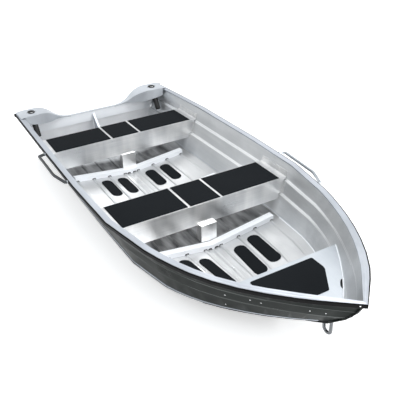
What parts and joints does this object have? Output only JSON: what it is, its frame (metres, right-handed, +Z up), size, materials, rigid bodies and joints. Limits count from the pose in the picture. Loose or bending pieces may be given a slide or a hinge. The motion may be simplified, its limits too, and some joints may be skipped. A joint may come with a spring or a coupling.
{
  "type": "open aluminium v-bow jon boat",
  "caption": "Open pressed-aluminium dinghy with a pointed bow, swaged sides, bench seats with non-slip pads, a small bow deck and a low transom for an outboard motor.",
  "frame": {"origin": "on the ground under the middle of the boat, at the level of the keel strip's underside", "axes": "+X towards the bow, +Y to port, +Z up"},
  "size_m": [3.6799, 1.6433, 0.5351],
  "materials": {
    "hull_paint": "dark graphite paint, satin, over pressed sheet; the inside is left bare",
    "bare_aluminium": "bare mill-finish sheet with soft reflections",
    "gunwale_aluminium": "bright extruded metal with fine lengthwise lines",
    "rub_rubber": "black rubber strip, satin",
    "non_slip_pad": "black non-slip sheet with a fine grain",
    "black_plastic": "black moulded plastic",
    "stainless_steel": "polished steel rod"
  },
  "bodies": {
    "root": {"side_port": "hull_paint", "bottom_port": "hull_paint", "gunwale_port": "gunwale_aluminium", "rub_strip_port": "rub_rubber", "runner_port": "hull_paint", "rod_holder_port": "black_plastic", "floor_pads_aft_port": "non_slip_pad", "floor_pads_forward_port": "non_slip_pad", "side_starboard": "hull_paint", "bottom_starboard": "hull_paint", "gunwale_starboard": "gunwale_aluminium", "rub_strip_starboard": "rub_rubber", "runner_starboard": "hull_paint", "rod_holder_starboard": "black_plastic", "floor_pads_aft_starboard": "non_slip_pad", "floor_pads_forward_starboard": "non_slip_pad", "transom": "hull_paint", "transom_cap": "bare_aluminium", "motor_board": "bare_aluminium", "motor_plate": "bare_aluminium", "transom_knee": "bare_aluminium", "keel_strip": "hull_paint", "stem_bar": "hull_paint", "rear_thwart": "bare_aluminium", "middle_thwart": "bare_aluminium", "rear_thwart_pads": "non_slip_pad", "middle_thwart_pads": "non_slip_pad", "rear_rib": "bare_aluminium", "middle_rib": "bare_aluminium", "bay_rib": "bare_aluminium", "rear_post": "bare_aluminium", "middle_post": "bare_aluminium", "bow_deck": "bare_aluminium", "bow_deck_pad": "non_slip_pad", "bow_eye": "stainless_steel", "handle_starboard_aft": "gunwale_aluminium", "handle_port_forward": "gunwale_aluminium"}
  },
  "joints": []
}
